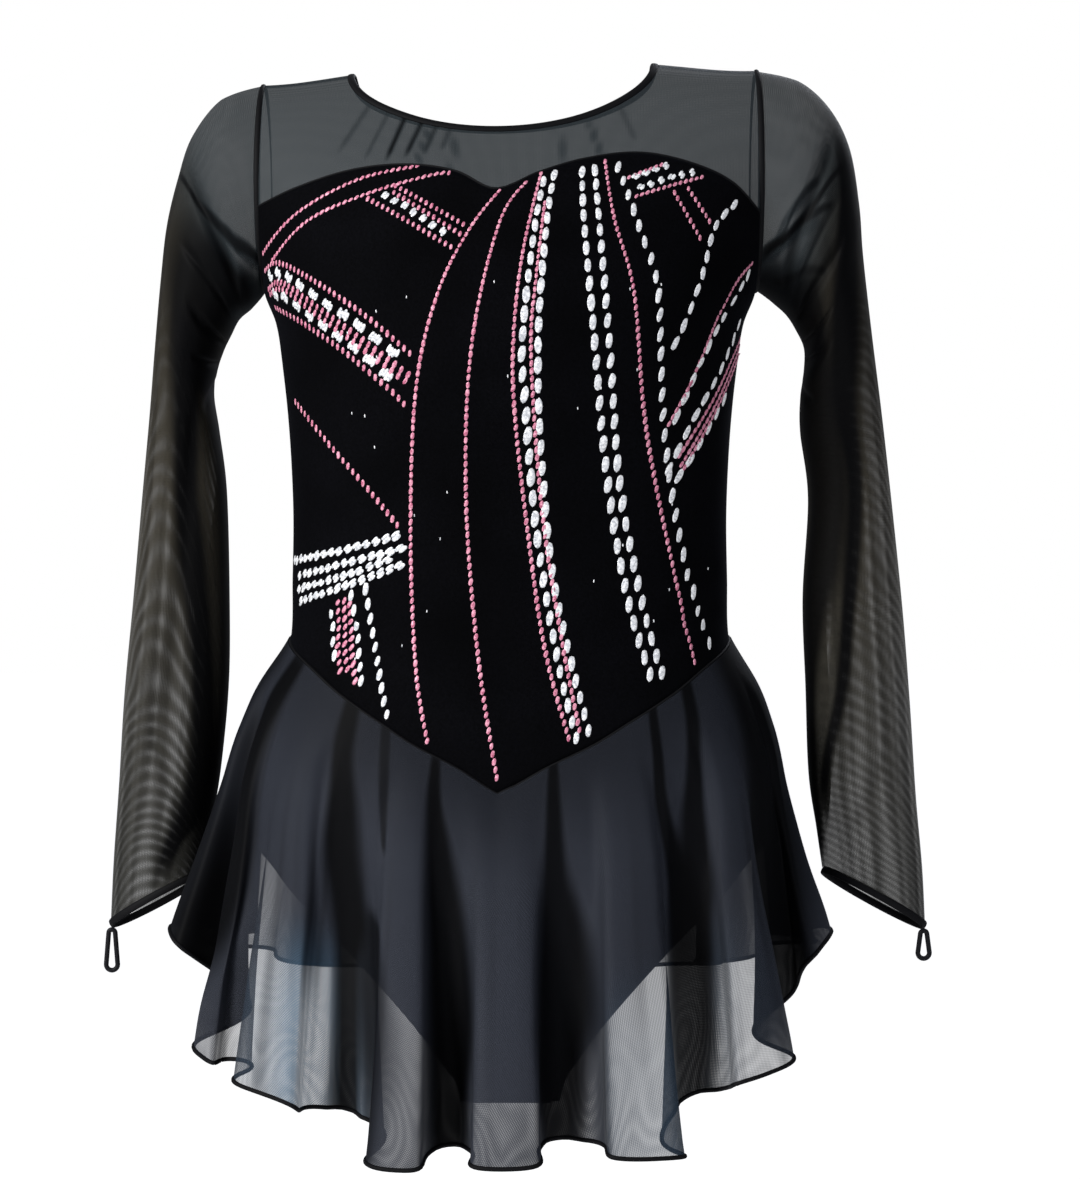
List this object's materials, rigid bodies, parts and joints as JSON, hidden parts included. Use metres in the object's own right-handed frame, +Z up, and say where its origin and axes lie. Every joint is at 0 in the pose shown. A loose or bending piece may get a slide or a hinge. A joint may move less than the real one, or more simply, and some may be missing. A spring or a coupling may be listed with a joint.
{
  "type": "figure skating dress",
  "caption": "Long-sleeved figure skating dress with a sheer yoke and sleeves, a sweetheart bodice, a flared sheer skirt and a built-in brief.",
  "frame": {"origin": "middle of the shoulder line, where the dress hangs on its wearer's shoulders", "axes": "+Z up, -Y the front of the dress, +X to the viewer's right"},
  "size_m": [0.5035, 0.2992, 0.6343],
  "materials": {
    "stretch_velvet": "black stretch velvet",
    "sheer_mesh": "black sheer stretch mesh",
    "binding": "folded black stretch binding",
    "elastic": "thin covered black elastic",
    "silver_glitter": "silver glitter dashes",
    "pink_glitter": "pink glitter dashes"
  },
  "bodies": {
    "root": {"bodice_front": "stretch_velvet", "bodice_back": "stretch_velvet", "brief_front": "stretch_velvet", "brief_back": "stretch_velvet", "yoke_front": "sheer_mesh", "yoke_back": "sheer_mesh", "sleeve_left": "sheer_mesh", "sleeve_right": "sheer_mesh", "skirt_front": "sheer_mesh", "skirt_back": "sheer_mesh", "neck_binding": "binding", "cuff_left": "binding", "cuff_right": "binding", "loop_left": "elastic", "loop_right": "elastic"}
  },
  "joints": []
}
